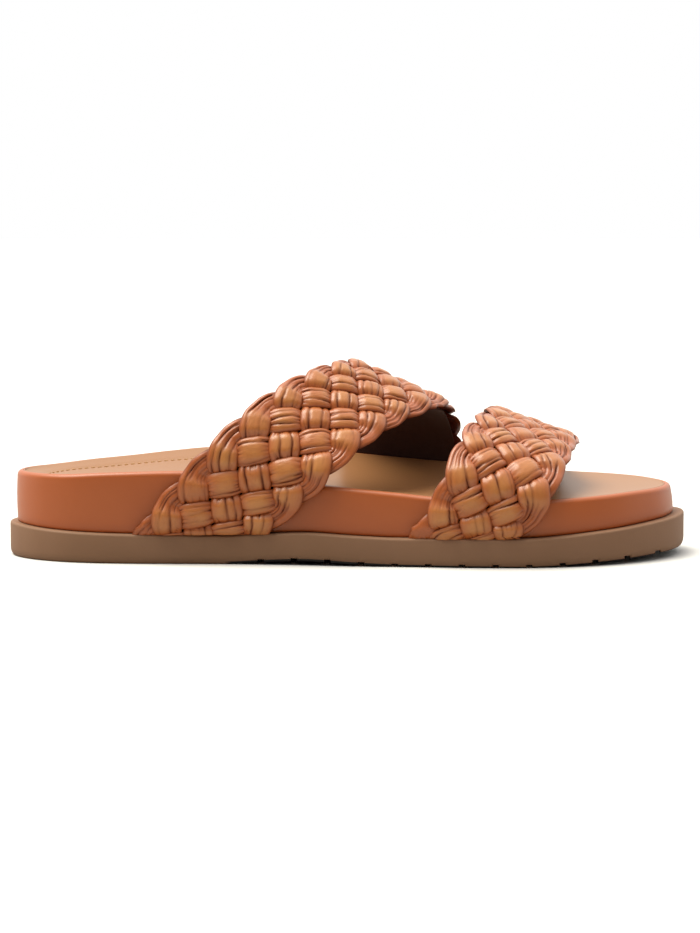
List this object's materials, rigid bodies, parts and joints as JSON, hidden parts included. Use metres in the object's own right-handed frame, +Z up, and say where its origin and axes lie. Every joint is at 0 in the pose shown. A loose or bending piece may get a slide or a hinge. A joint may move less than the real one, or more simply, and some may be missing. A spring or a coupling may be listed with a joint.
{
  "type": "flatform sandal",
  "caption": "Right flatform slide sandal: rubber outsole with a ledge, leather wrapped wedge midsole, contoured insole and plaited leather straps over instep and toes.",
  "frame": {"origin": "on the floor, under the middle of the sandal's box", "axes": "+X to the toe, +Y to the inner (medial) side, +Z up"},
  "size_m": [0.2618, 0.0982, 0.0744],
  "materials": {
    "outsole_rubber": "moulded, matte",
    "wrap_leather": "smooth, soft sheen",
    "insole_leather": "smooth, matte",
    "braid_leather": "soft, creased, satin"
  },
  "bodies": {
    "root": {"outsole": "outsole_rubber", "midsole": "wrap_leather", "insole": "insole_leather", "rear_strap": "braid_leather", "front_strap": "braid_leather"}
  },
  "joints": []
}
